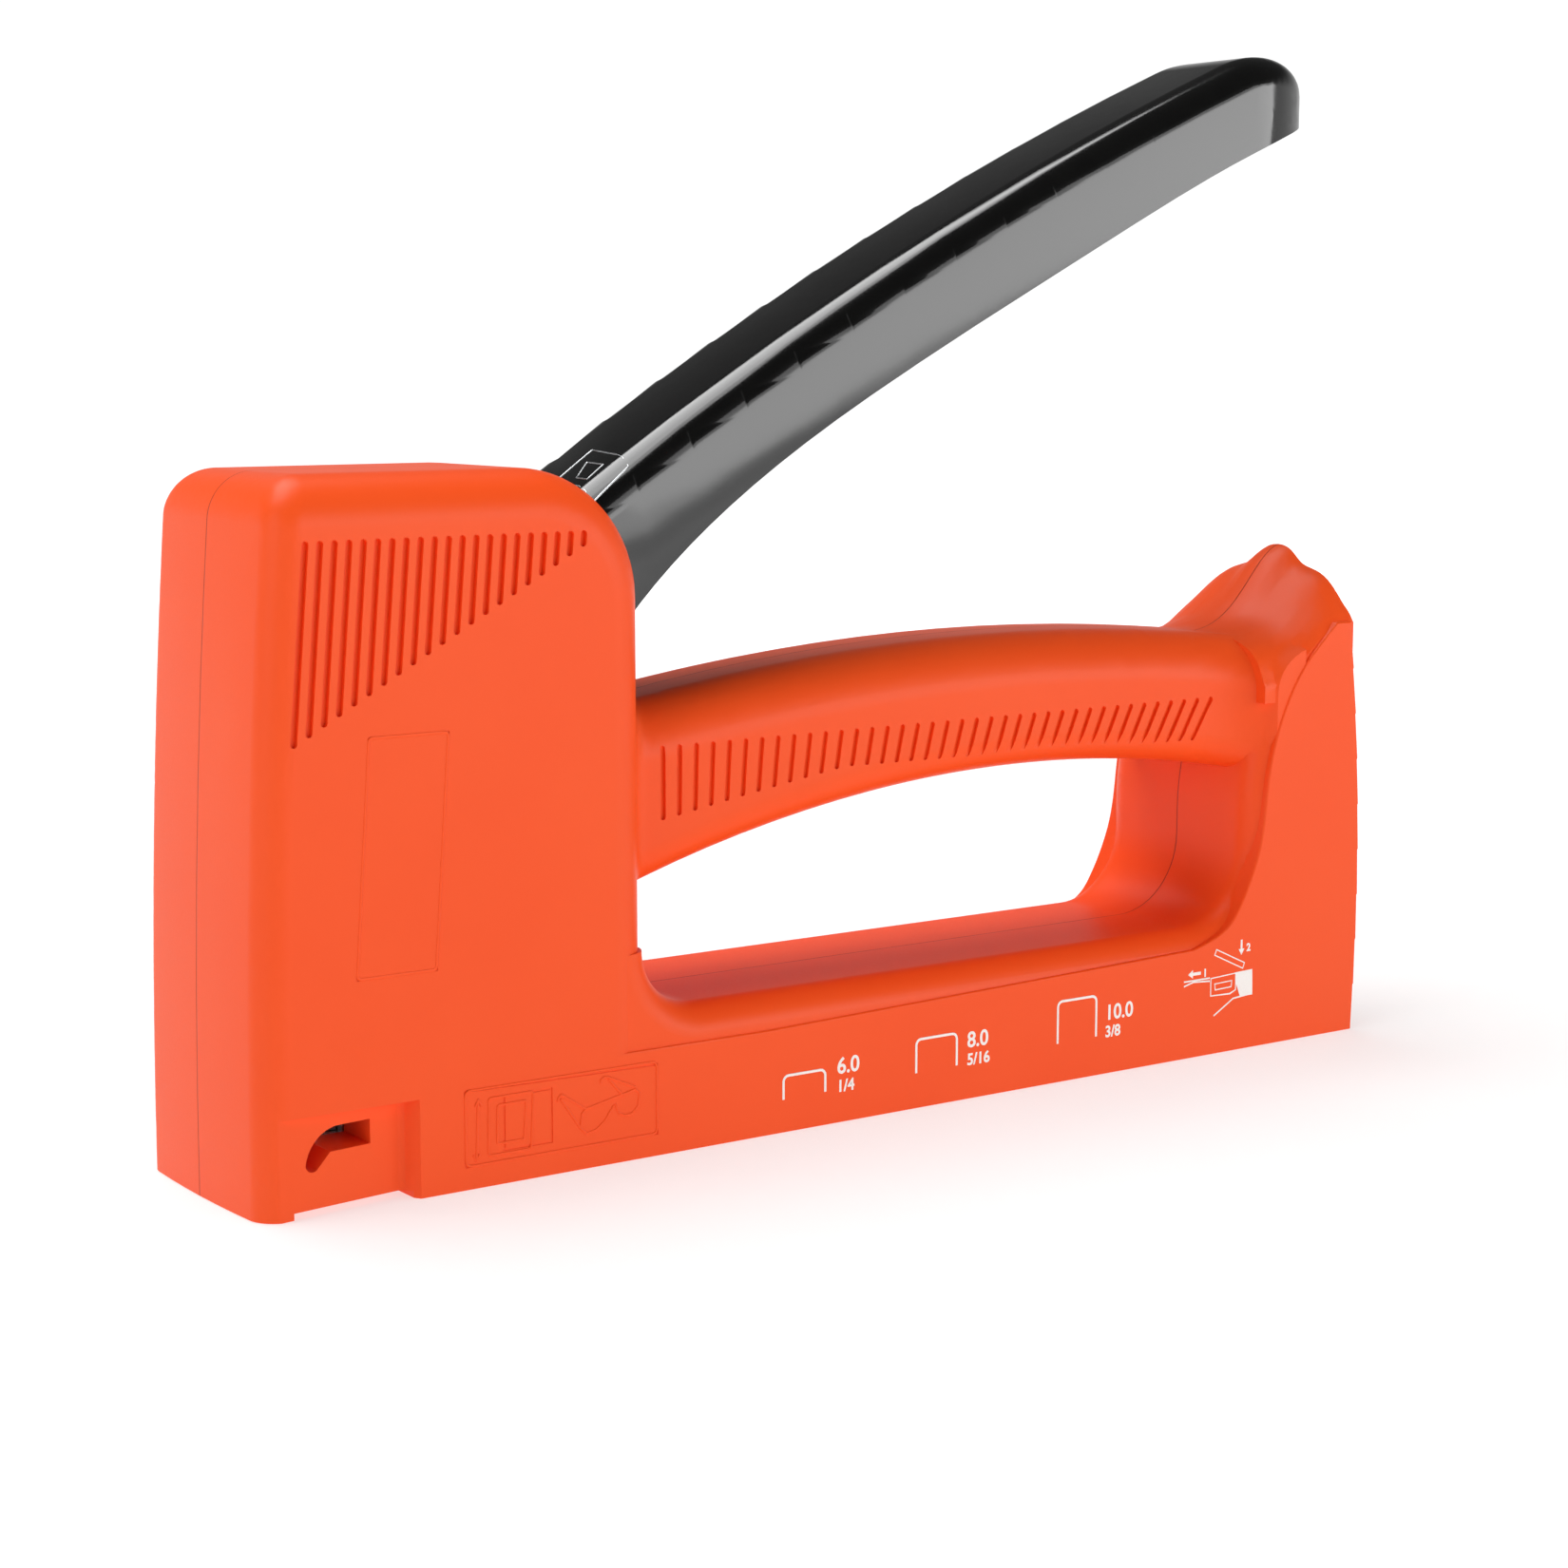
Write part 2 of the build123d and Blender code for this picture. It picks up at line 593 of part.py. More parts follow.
cheek_inner = lever_half_width - lever_sheet
lever_outer = lever_solid(0, lever_underside)
lever_inner = lever_solid(lever_sheet, lever_hollow)
with BuildPart() as handle_lever:
    add(lever_outer)
    for side in (-1, 1):
        with BuildSketch(Plane.XZ.offset(side * (cheek_inner + lever_sheet / 2))):
            with BuildLine():
                gap = Vector(pivot_x - toe_x, pivot_z - toe_z)
                lean = atan2(gap.Y, gap.X)
                spread = asin((hub_radius - toe_radius) / gap.length)
                top = lean + pi / 2 + spread
                low = lean - pi / 2 - spread
                hub_top = (pivot_x + hub_radius * cos(top), pivot_z + hub_radius * sin(top))
                hub_low = (pivot_x + hub_radius * cos(low), pivot_z + hub_radius * sin(low))
                toe_top = (toe_x, toe_z + toe_radius)
                knee = (toe_x + 5.0, toe_z + toe_radius)
                toe_low = (toe_x + toe_radius * cos(low), toe_z + toe_radius * sin(low))
                toe_tip = (toe_x - toe_radius * cos(lean), toe_z - toe_radius * sin(lean))
                Polyline(
                    (pivot_x + 5, pivot_z + 3), (pivot_x + 4.2, back_start[1] - 1.2),
                    (pivot_x + 1.0, pivot_z + 9.0), hub_top,
                )
                Polyline(hub_top, knee, toe_top)
                ThreePointArc(toe_top, toe_tip, toe_low)
                Line(toe_low, hub_low)
                Polyline(hub_low, (pivot_x + 5, pivot_z - 5.2), (pivot_x + 5, pivot_z + 3))
            make_face()
        extrude(amount=lever_sheet / 2, both=True)
    add(lever_inner, mode=Mode.SUBTRACT)
    add(cross_pin(pivot_x, pivot_z, pivot_pin_radius + running_fit, -20, 20), mode=Mode.SUBTRACT)
handle_lever.part.label = "handle_lever"

with BuildPart() as pivot_pin:
    add(cross_pin(pivot_x, pivot_z, pivot_pin_radius, -cavity_half, cavity_half))
    chamfer(pivot_pin.edges().filter_by(GeomType.CIRCLE), 0.4)
pivot_pin.part.label = "pivot_pin"

sleeve_half = cheek_inner - side_gap
with BuildPart() as pivot_sleeve:
    add(cross_pin(pivot_x, pivot_z, pivot_pin_radius + 1.0, -sleeve_half, sleeve_half))
    add(cross_pin(pivot_x, pivot_z, pivot_pin_radius + 0.02, -sleeve_half, sleeve_half), mode=Mode.SUBTRACT)
pivot_sleeve.part.label = "pivot_sleeve"

with BuildPart() as stop_pin:
    add(cross_pin(stop_x, stop_z, stop_radius, -cavity_half + 0.1, cavity_half - 0.1))
    chamfer(stop_pin.edges().filter_by(GeomType.CIRCLE), 0.3)
stop_pin.part.label = "stop_pin"

# return spring: a torsion spring on the sleeve, one leg under the lever's back and one over the stop pin
coil_radius = pivot_pin_radius + 1.0 + 0.9
return_wire = 0.5
return_turns = 5.0
return_pitch = 1.15
coil_half = return_turns * return_pitch / 2
coil_top_z = pivot_z + coil_radius
lever_leg = [
    (pivot_x - 0.3, coil_half, coil_top_z), (pivot_x + 5, coil_half, coil_top_z + 3),
    (pivot_x + 10, coil_half, coil_top_z + 9.2),
]
stop_leg = [
    (pivot_x + 0.3, -coil_half, coil_top_z), (pivot_x - 5, -coil_half, coil_top_z - 1.2),
    (stop_x + 2.2, -coil_half, stop_z + stop_radius + 1.6),
    (stop_x - 1.5, -coil_half, stop_z + stop_radius + 0.8),
]


def wire_run(points, radius):
    """a bent wire through the points"""
    with BuildPart() as run:
        with BuildLine() as route:
            Polyline(*points)
        with BuildSketch(Plane(route.line @ 0, z_dir=route.line % 0)):
            Circle(radius)
        sweep(transition=Transition.ROUND)
    return run.part


legs = [wire_run(points, return_wire) for points in (lever_leg, stop_leg)]
with BuildPart() as return_spring:
    with BuildLine() as wire_line:
        Helix(
            pitch=return_pitch, height=2 * coil_half, radius=coil_radius,
            center=(pivot_x, -coil_half, pivot_z), direction=(0, 1, 0),
        )
    with BuildSketch(Plane(wire_line.line @ 0, z_dir=wire_line.line % 0)):
        Circle(return_wire)
    sweep(is_frenet=True)
    for leg in legs:
        add(leg)
return_spring.part.label = "return_spring"

# ------------------------------------------------------------------ striker
cage_top_z = stud_z + stud_radius + 0.4
cage_back_x = spring_x + stud_radius + 4.6
cage_front_sheet = 1.4
cage_floor_sheet = 1.9
cage_front_z = cage_floor_z + 12.0      # the front wall ends here, and the blade hangs from it
cage_inner = cage_half_width - cage_sheet
blade_rivet_z = cage_floor_z + 6.0
blade_rivet_y = (-3.8, 3.8)
rivet_radius = 0.8
rivet_fit = 0.02
stud_shank_radius = 1.2
with BuildPart() as plunger:
    add(block(cage_front_x, cage_back_x, cage_half_width, cage_floor_z, cage_top_z))
    inside_x = cage_front_x + cage_front_sheet
    add(
        block(inside_x, cage_back_x + 1, cage_inner, cage_floor_z + cage_floor_sheet, cage_top_z + 1),
        mode=Mode.SUBTRACT,
    )
    add(
        block(cage_front_x - 1, inside_x + 0.1, cage_half_width + 1, cage_front_z, cage_top_z + 1),
        mode=Mode.SUBTRACT,
    )
    for y in blade_rivet_y:
        add(
            long_pin(y, blade_rivet_z, rivet_radius + rivet_fit, cage_front_x - 3, cage_front_x + 3),
            mode=Mode.SUBTRACT,
        )
    add(cross_pin(spring_x, stud_z, stud_shank_radius + rivet_fit, -10, 10), mode=Mode.SUBTRACT)
plunger.part.label = "plunger"

stud_reach = lever_half_width + 0.9
with BuildPart() as lift_studs:
    for side in (-1, 1):
        add(cross_pin(spring_x, stud_z, stud_radius, side * (cage_half_width + bore_fit), side * stud_reach))
        add(
            cross_pin(
                spring_x, stud_z, stud_shank_radius,
                side * (cage_inner - 0.25), side * (cage_half_width + 0.5),
            )
        )
lift_studs.part.label = "lift_studs"

blade_low_z = 0.5
blade_top_z = cage_floor_z + 9.5
with BuildPart() as driver_blade:
    add(block(-blade_x, blade_x, blade_width / 2, blade_low_z, blade_top_z))
    for y in blade_rivet_y:
        add(long_pin(y, blade_rivet_z, rivet_radius + rivet_fit, -3, 3), mode=Mode.SUBTRACT)
driver_blade.part.label = "driver_blade"

with BuildPart() as blade_rivets:
    for y in blade_rivet_y:
        add(long_pin(y, blade_rivet_z, rivet_radius, -blade_x, inside_x))
        add(long_pin(y, blade_rivet_z, rivet_radius + 0.5, inside_x, inside_x + 0.5))
blade_rivets.part.label = "blade_rivets"

seat_height = 1.0
spigot_height = 3.0
touch_gap = 0.03
spring_low_z = cage_floor_z + cage_floor_sheet + touch_gap
spring_top_z = inner_top_z - seat_height - touch_gap


def coil(radius, wire, turns, base, direction, length):
    """a plain helical wire spring between two flats"""
    pitch = (length - 2 * wire) / turns
    start = Vector(base) + Vector(direction) * wire
    with BuildPart() as spring:
        with BuildLine() as route:
            Helix(pitch=pitch, height=pitch * turns, radius=radius, center=start, direction=direction)
        with BuildSketch(Plane(route.line @ 0, z_dir=route.line % 0)):
            Circle(wire)
        sweep(is_frenet=True)
    return spring.part


main_coil = coil(
    spring_radius, spring_wire, spring_turns, (spring_x, 0, spring_low_z), (0, 0, 1),
    spring_top_z - spring_low_z,
)
with BuildPart() as main_spring:
    add(main_coil)
main_spring.part.label = "main_spring"

with BuildPart() as spring_seat:
    with Locations((spring_x, 0, inner_top_z - seat_height / 2)):
        Cylinder(spring_radius + spring_wire, seat_height)
    with Locations((spring_x, 0, inner_top_z - seat_height - spigot_height / 2)):
        Cylinder(spring_radius - spring_wire - 0.5, spigot_height)
spring_seat.part.label = "spring_seat"

with BuildPart() as bumper:
    add(block(1.9, 16.4, cage_half_width - 0.6, bumper_z, bumper_z + bumper_height))
    fillet(bumper.edges().filter_by(Axis.Z), 1.5)
bumper.part.label = "bumper"

with BuildPart() as nose_plate:
    add(block(plate_x - plate_thickness, plate_x, 8.5, 0.25, 36.8))
nose_plate.part.label = "nose_plate"

# ----------------------------------------------------------------- magazine
channel_low_z = 0.3
channel_inner = channel_half_width - channel_sheet
lip_reach = 5.2
window_slot = (7.0, 3.0, 2.6)
with BuildPart() as staple_channel:
    add(block(channel_x, channel_end_x, channel_half_width, channel_low_z, channel_top_z))
    add(
        block(channel_x - 1, channel_end_x + 1, channel_inner, channel_low_z + 0.7, channel_top_z - channel_sheet),
        mode=Mode.SUBTRACT,
    )
    add(block(channel_x - 1, channel_end_x + 1, lip_reach, channel_low_z - 1, 5), mode=Mode.SUBTRACT)
    for x0, x1 in lug_x:
        add(block(x0, x1, channel_half_width + lug_reach, *lug_z))
        add(block(x0 - 1, x1 + 1, channel_inner, *lug_z), mode=Mode.SUBTRACT)
    for side in (-1, 1):
        slot = Box(*window_slot, mode=Mode.PRIVATE)
        add(Pos(6.0, side * channel_half_width, 7.8) * slot, mode=Mode.SUBTRACT)
staple_channel.part.label = "staple_channel"

rail_front_x = channel_x + 0.5
rail_top = rail_low_z + rail_height
rail_inner = rail_half_width - rail_sheet
rod_end_x = rail_end_x - 10.4
cap_front_x = rail_end_x + 0.02
cap_rivet_x = cap_front_x - 2.0
cap_rivet_z = 6.0
cap_rivet_radius = 0.9
with BuildPart() as pusher_rail:
    add(block(rail_front_x, rail_end_x, rail_half_width, rail_low_z, rail_top))
    add(
        block(rail_front_x - 1, rail_end_x + 1, rail_inner, rail_low_z + rail_sheet, rail_top + 1),
        mode=Mode.SUBTRACT,
    )
    add(block(rail_front_x, rail_end_x, channel_inner - 0.15, rail_low_z, rail_low_z + rail_sheet))
    for x0 in (rail_front_x, rod_end_x):
        add(block(x0, x0 + rail_sheet, rail_inner + 0.1, rail_low_z, rail_top - 1.2))
        with Locations(Location((x0, 0, rod_z), (0, 90, 0))):
            Cylinder(rod_radius + rivet_fit, 4, mode=Mode.SUBTRACT)
    add(cross_pin(cap_rivet_x, cap_rivet_z, cap_rivet_radius + rivet_fit, -10, 10), mode=Mode.SUBTRACT)
pusher_rail.part.label = "pusher_rail"

with BuildPart() as pusher_rod:
    with Locations(Location(((rail_front_x + rod_end_x + rail_sheet) / 2, 0, rod_z), (0, 90, 0))):
        Cylinder(rod_radius, rod_end_x + rail_sheet - rail_front_x + 1.0)
pusher_rod.part.label = "pusher_rod"

follower_x = rail_front_x + rail_sheet + 0.4
follower_end_x = follower_x + follower_length
with BuildPart() as pusher:
    saddle_top_z = channel_top_z - channel_sheet - side_gap
    add(block(channel_x + 0.4, follower_end_x, channel_inner - side_gap, 3.2, saddle_top_z))
    add(block(channel_x, follower_end_x + 1, rail_half_width + 0.2, 2, rail_top + 0.2), mode=Mode.SUBTRACT)
    add(block(follower_x, follower_end_x, rail_inner - side_gap, rod_z - 2.6, rail_top + 0.4))
    with Locations(Location((follower_x + follower_length / 2, 0, rod_z), (0, 90, 0))):
        Cylinder(rod_radius + running_fit + 0.03, follower_length + 2, mode=Mode.SUBTRACT)
pusher.part.label = "pusher"

pusher_spring_x = follower_end_x + touch_gap
pusher_coil = coil(
    2.3, 0.3, 36, (pusher_spring_x, 0, rod_z), (1, 0, 0), rod_end_x - touch_gap - pusher_spring_x,
)
with BuildPart() as pusher_spring:
    add(pusher_coil)
pusher_spring.part.label = "pusher_spring"

with BuildPart() as rail_cap:
    add(block(cap_front_x, tail_line_x(0) - 0.2, mag_half - 0.25, 0.6, roof_z - 0.3))
    add(block(cap_front_x - 4.0, cap_front_x, rail_inner - 0.1, rail_low_z + rail_sheet + 0.05, rail_top))
    for i in range(4):
        bar = Box(1.2, 11.0, 1.1, mode=Mode.PRIVATE)
        add(Pos(tail_line_x(0), 0, 2.6 * (i + 1)) * bar, mode=Mode.SUBTRACT)
    for side in (-1, 1):
        add(
            cross_pin(
                cap_rivet_x, cap_rivet_z, cap_rivet_radius + rivet_fit,
                side * (rail_half_width - 2.0), side * (rail_half_width + 2.0),
            ),
            mode=Mode.SUBTRACT,
        )
rail_cap.part.label = "rail_cap"

with BuildPart() as cap_rivets:
    for side in (-1, 1):
        add(
            cross_pin(
                cap_rivet_x, cap_rivet_z, cap_rivet_radius,
                side * (rail_half_width - 2.0), side * (rail_half_width + 0.35),
            )
        )
cap_rivets.part.label = "cap_rivets"

# detent spring: a leaf in the rail's tail whose bump clicks into a hole in the channel
leaf_sheet = 0.4
leaf_x = rod_end_x + 1.7
leaf_low_z = rail_low_z + rail_sheet + 0.3
with BuildPart() as catch_spring:
    with BuildSketch(Plane.XZ):
        with BuildLine():
            Polyline((leaf_x - leaf_sheet / 2, leaf_low_z), (leaf_x + 4.2, leaf_low_z))
        trace(line_width=leaf_sheet)
        with BuildLine():
            Polyline(
                (leaf_x, leaf_low_z), (leaf_x, 11.6), (leaf_x + 1.9, 12.4), (leaf_x + 3.7, 11.2),
                (leaf_x + 3.7, 9.6),
            )
        trace(line_width=leaf_sheet)
    extrude(amount=2.5, both=True)
catch_spring.part.label = "catch_spring"

pieces = [
    shell_left, shell_right, shell_screws, handle_lever, pivot_pin, pivot_sleeve, stop_pin, return_spring,
    plunger, lift_studs, driver_blade, blade_rivets, main_spring, spring_seat, bumper, nose_plate,
    staple_channel, pusher_rail, pusher_rod, pusher, pusher_spring, rail_cap, cap_rivets, catch_spring,
]
for piece in pieces:
    export_step(piece.part, "parts/%s.step" % piece.part.label)
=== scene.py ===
# %% [markdown]
# # A hand staple gun: finishes, markings and a small studio
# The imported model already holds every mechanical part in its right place. This lesson gives each
# part the surface it has in a real tool, adds the printed and moulded markings, and lights it all.
# Everything is in metres; a helper named mm keeps the numbers readable.

# %% load the model
import json
import math

import bmesh
import bpy
from mathutils import Matrix, Vector
from mathutils.bvhtree import BVHTree


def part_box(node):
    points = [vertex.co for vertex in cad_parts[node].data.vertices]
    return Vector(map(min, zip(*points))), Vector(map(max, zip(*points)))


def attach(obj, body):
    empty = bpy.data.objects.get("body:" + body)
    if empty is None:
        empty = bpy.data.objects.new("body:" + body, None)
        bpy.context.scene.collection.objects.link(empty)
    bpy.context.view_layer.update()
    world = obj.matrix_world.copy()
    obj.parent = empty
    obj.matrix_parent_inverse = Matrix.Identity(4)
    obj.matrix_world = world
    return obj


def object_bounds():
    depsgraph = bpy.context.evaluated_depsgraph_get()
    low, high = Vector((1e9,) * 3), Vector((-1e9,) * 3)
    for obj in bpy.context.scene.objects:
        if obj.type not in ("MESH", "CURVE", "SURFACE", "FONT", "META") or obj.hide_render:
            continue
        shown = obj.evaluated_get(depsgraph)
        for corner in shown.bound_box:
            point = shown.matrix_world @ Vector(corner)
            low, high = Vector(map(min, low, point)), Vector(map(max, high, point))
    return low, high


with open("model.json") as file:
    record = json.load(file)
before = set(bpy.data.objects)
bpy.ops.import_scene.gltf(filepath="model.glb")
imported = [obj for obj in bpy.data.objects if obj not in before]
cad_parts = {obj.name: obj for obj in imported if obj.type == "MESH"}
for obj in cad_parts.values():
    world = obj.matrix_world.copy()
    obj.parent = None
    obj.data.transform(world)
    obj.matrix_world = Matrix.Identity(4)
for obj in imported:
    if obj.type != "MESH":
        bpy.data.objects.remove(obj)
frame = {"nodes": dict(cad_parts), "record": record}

mm = 0.001
model_low, model_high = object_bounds()
print("model box in mm:", [round(v / mm, 1) for v in (*model_low, *model_high)])

# %% [markdown]
# ## Small helpers for materials
# Colours are easiest to pick as the hex values of a colour chart, but the renderer adds up light, so
# it wants linear values: one function converts them. A second one adds a node, sets its sockets and
# wires it up in one call. Three short ones make a new material, a colour between two tones and a
# change of range, which keeps each material below to a few readable lines.

# %% colour and node helpers
def linear(code):
    """the linear colour of an sRGB hex value such as 'FF6020'"""
    channels = [int(code[i : i + 2], 16) / 255 for i in (0, 2, 4)]
    return (*[c / 12.92 if c <= 0.04045 else ((c + 0.055) / 1.055) ** 2.4 for c in channels], 1.0)


def add(tree, kind, inputs=None, **settings):
    """adds a node; an input is a value, or a link given as (node, output name)"""
    node = tree.nodes.new("ShaderNode" + kind)
    for name, value in settings.items():
        setattr(node, name, value)
    for name, value in (inputs or {}).items():
        if isinstance(value, tuple) and hasattr(value[0], "outputs"):
            tree.links.new(value[0].outputs[value[1]], node.inputs[name])
        else:
            node.inputs[name].default_value = value
    return node


def surface(name, **values):
    """a new material with its Principled shader; values are set on the shader's own sockets"""
    material = bpy.data.materials.new(name)
    material.use_nodes = True
    tree = material.node_tree
    shader = tree.nodes["Principled BSDF"]
    for socket, value in values.items():
        shader.inputs[socket.replace("_", " ")].default_value = value
    return material, tree, shader


def two_tones(tree, factor, dark, light):
    """a colour between two hex values, led by a node's output"""
    ramp = add(tree, "ValToRGB", {"Fac": factor})
    ramp.color_ramp.elements[0].color = linear(dark)
    ramp.color_ramp.elements[1].color = linear(light)
    return ramp


def spread(tree, factor, low, high):
    """moves an output that runs from 0 to 1 into the range low to high"""
    return add(tree, "MapRange", {"Value": factor, "To Min": low, "To Max": high})


print("helpers ready")

# %% [markdown]
# ## The casing: moulded ABS
# Both shells are injection moulded in orange ABS. The mould is spark eroded, which leaves a very
# fine, even grain of about a quarter of a millimetre and turns the gloss into a soft sheen. Where
# the two shells meet there is a hair-fine, deeper orange line along the middle plane. It is drawn
# from the distance to that plane, so it follows every curve of the casing by itself.

# %% casing material
GRAIN = 0.28 * mm
CLOUD = 22 * mm
SEAM_CORE = 0.03 * mm
SEAM_REACH = 0.12 * mm
SEAM_DEPTH = 0.12 * mm
abs_plastic, tree, shader = surface("abs_spark_eroded_orange", IOR=1.53, Specular_IOR_Level=0.2)
place = add(tree, "TexCoord")
grain = add(
    tree, "TexNoise",
    {"Vector": (place, "Object"), "Scale": 1 / GRAIN, "Detail": 2.0, "Roughness": 0.6},
)
cloud = add(tree, "TexNoise", {"Vector": (place, "Object"), "Scale": 1 / CLOUD, "Detail": 3.0})
tint = two_tones(tree, (cloud, "Fac"), "F65019", "FA5820")
axes = add(tree, "SeparateXYZ", {"Vector": (place, "Object")})
from_seam = add(tree, "Math", {0: (axes, "Y")}, operation="ABSOLUTE")
seam = add(
    tree, "MapRange",
    {
        "Value": (from_seam, "Value"), "From Min": SEAM_CORE, "From Max": SEAM_REACH,
        "To Min": 1.0, "To Max": 0.0,
    },
    interpolation_type="SMOOTHSTEP",
)
shade = add(tree, "Mix", {0: (seam, "Result"), 6: (tint, "Color"), 7: linear("B8360A")}, data_type="RGBA")
sheen = spread(tree, (grain, "Fac"), 0.36, 0.46)
tree.links.new(shade.outputs[2], shader.inputs["Base Color"])
tree.links.new(sheen.outputs["Result"], shader.inputs["Roughness"])
rough = add(tree, "Bump", {"Height": (grain, "Fac"), "Distance": 0.02 * mm, "Strength": 0.35})
dip = add(
    tree, "Bump",
    {"Height": (seam, "Result"), "Distance": SEAM_DEPTH, "Strength": 0.8, "Normal": (rough, "Normal")},
    invert=True,
)
tree.links.new(dip.outputs["Normal"], shader.inputs["Normal"])
print("casing:", abs_plastic.name, "grain", GRAIN / mm, "mm")

# %% [markdown]
# ## The lever: black enamelled steel
# The lever is a pressed steel trough under a thick gloss enamel. Wet enamel levels itself, so its
# surface is a mirror with only a faint, wide waviness called orange peel. A dark base with a low
# roughness gives the long soft reflections; a wave of two to three millimetres breaks them slightly.
# Pressing also leaves the flanks a little crowned. The crown is a height that falls away from a
# line midway down the flank, measured from the arc of the lever's back, so the reflections roll
# off along the whole lever.

# %% lever material
PEEL = 2.6 * mm
DUST = 0.4 * mm
BACK_ARC = ((38.0, 73.1), (94.2, 106.2), (137.0, 126.0))   # (x, z) along the lever's back, in mm
CROWN_RADIUS = 70.0   # of the flank across its height, in mm
CROWN_DEPTH = 9.0     # of the crown's highest line below the back, in mm
enamel, tree, shader = surface("gloss_black_enamel", IOR=1.5, Coat_Weight=0.5, Coat_Roughness=0.08)
place = add(tree, "TexCoord")
peel = add(tree, "TexNoise", {"Vector": (place, "Object"), "Scale": 1 / PEEL, "Detail": 1.0})
dust = add(tree, "TexNoise", {"Vector": (place, "Object"), "Scale": 1 / DUST, "Detail": 2.0})
tone = two_tones(tree, (peel, "Fac"), "060606", "0C0C0B")
gloss = spread(tree, (dust, "Fac"), 0.10, 0.16)
tree.links.new(tone.outputs["Color"], shader.inputs["Base Color"])
tree.links.new(gloss.outputs["Result"], shader.inputs["Roughness"])
wave = add(tree, "Bump", {"Height": (peel, "Fac"), "Distance": 0.012 * mm, "Strength": 0.5})


def arc_through(a, b, c):
    """centre and radius of the circle through three (x, z) points"""
    (ax, az), (bx, bz), (cx, cz) = a, b, c
    d = 2 * (ax * (bz - cz) + bx * (cz - az) + cx * (az - bz))
    a2, b2, c2 = ax**2 + az**2, bx**2 + bz**2, cx**2 + cz**2
    x = (a2 * (bz - cz) + b2 * (cz - az) + c2 * (az - bz)) / d
    z = (a2 * (cx - bx) + b2 * (ax - cx) + c2 * (bx - ax)) / d
    return (x, z), math.hypot(ax - x, az - z)


(back_x, back_z), back_radius = arc_through(*BACK_ARC)
flat = add(tree, "VectorMath", {0: (place, "Object"), 1: (1, 0, 1)}, operation="MULTIPLY")
reach = add(
    tree, "VectorMath", {0: (flat, "Vector"), 1: (back_x * mm, 0, back_z * mm)}, operation="DISTANCE"
)
below = add(
    tree, "Math", {0: (reach, "Value"), 1: (back_radius - CROWN_DEPTH) * mm}, operation="SUBTRACT"
)
away = add(tree, "Math", {0: (below, "Value"), 1: (below, "Value")}, operation="MULTIPLY")
crown = add(
    tree, "Bump",
    {"Height": (away, "Value"), "Distance": -1 / (2 * CROWN_RADIUS * mm), "Normal": (wave, "Normal")},
)
tree.links.new(crown.outputs["Normal"], shader.inputs["Normal"])
print("lever:", enamel.name, "back radius", round(back_radius, 1), "mm")

# %% [markdown]
# ## The metals
# The screws, the pins, the channel, the rail with its pusher and the striker's cage are steel under
# a thin coat of zinc, with faint rolling lines. The blade and the lift studs are ground and
# hardened, a little darker and with finer lines. Spring wire is drawn and oil tempered, so it is
# dark with a dull shine. All three are the same recipe with other numbers: a metal whose colour and
# roughness follow stretched noise.

# %% metal materials
def rolled_metal(name, dark, light, smooth, dull, line, stretch):
    """a metal with lines of the given spacing that run along X"""
    metal, tree, shader = surface(name, Metallic=1.0)
    place = add(tree, "TexCoord")
    squeeze = add(tree, "Mapping", {"Vector": (place, "Object"), "Scale": (1 / stretch, 1.0, 1.0)})
    lines = add(tree, "TexNoise", {"Vector": (squeeze, "Vector"), "Scale": 1 / line, "Detail": 3.0})
    tone = two_tones(tree, (lines, "Fac"), dark, light)
    shine = spread(tree, (lines, "Fac"), smooth, dull)
    tree.links.new(tone.outputs["Color"], shader.inputs["Base Color"])
    tree.links.new(shine.outputs["Result"], shader.inputs["Roughness"])
    scratch = add(tree, "Bump", {"Height": (lines, "Fac"), "Distance": 0.01 * mm, "Strength": 0.4})
    tree.links.new(scratch.outputs["Normal"], shader.inputs["Normal"])
    return metal


zinc = rolled_metal("zinc_plated_steel", "A9ABAD", "D4D6D8", 0.22, 0.36, 0.35 * mm, 14.0)
ground = rolled_metal("ground_hardened_steel", "8E8F91", "B6B7B9", 0.18, 0.30, 0.15 * mm, 20.0)
wire = rolled_metal("oil_tempered_spring_wire", "55555A", "7A7A80", 0.28, 0.42, 0.25 * mm, 6.0)
print("metals:", zinc.name, ground.name, wire.name)

# %% [markdown]
# ## Black plastic, rubber and ink
# The rail's end cap and the seat of the main spring are moulded in black nylon, which is a little
# milky and duller than the lever. The bumper is rubber: rougher and almost without shine. The
# markings along the base of the casing are pad printed in white ink, a film so thin that it takes
# the grain of the plastic under it.

# %% plastic, rubber and ink materials
def grained(name, dark, light, smooth, dull, size, depth):
    """a dielectric with an even grain of the given size"""
    made, tree, shader = surface(name, IOR=1.5)
    place = add(tree, "TexCoord")
    noise = add(tree, "TexNoise", {"Vector": (place, "Object"), "Scale": 1 / size, "Detail": 2.0})
    tone = two_tones(tree, (noise, "Fac"), dark, light)
    dullness = spread(tree, (noise, "Fac"), smooth, dull)
    tree.links.new(tone.outputs["Color"], shader.inputs["Base Color"])
    tree.links.new(dullness.outputs["Result"], shader.inputs["Roughness"])
    bumps = add(tree, "Bump", {"Height": (noise, "Fac"), "Distance": depth, "Strength": 0.4})
    tree.links.new(bumps.outputs["Normal"], shader.inputs["Normal"])
    return made


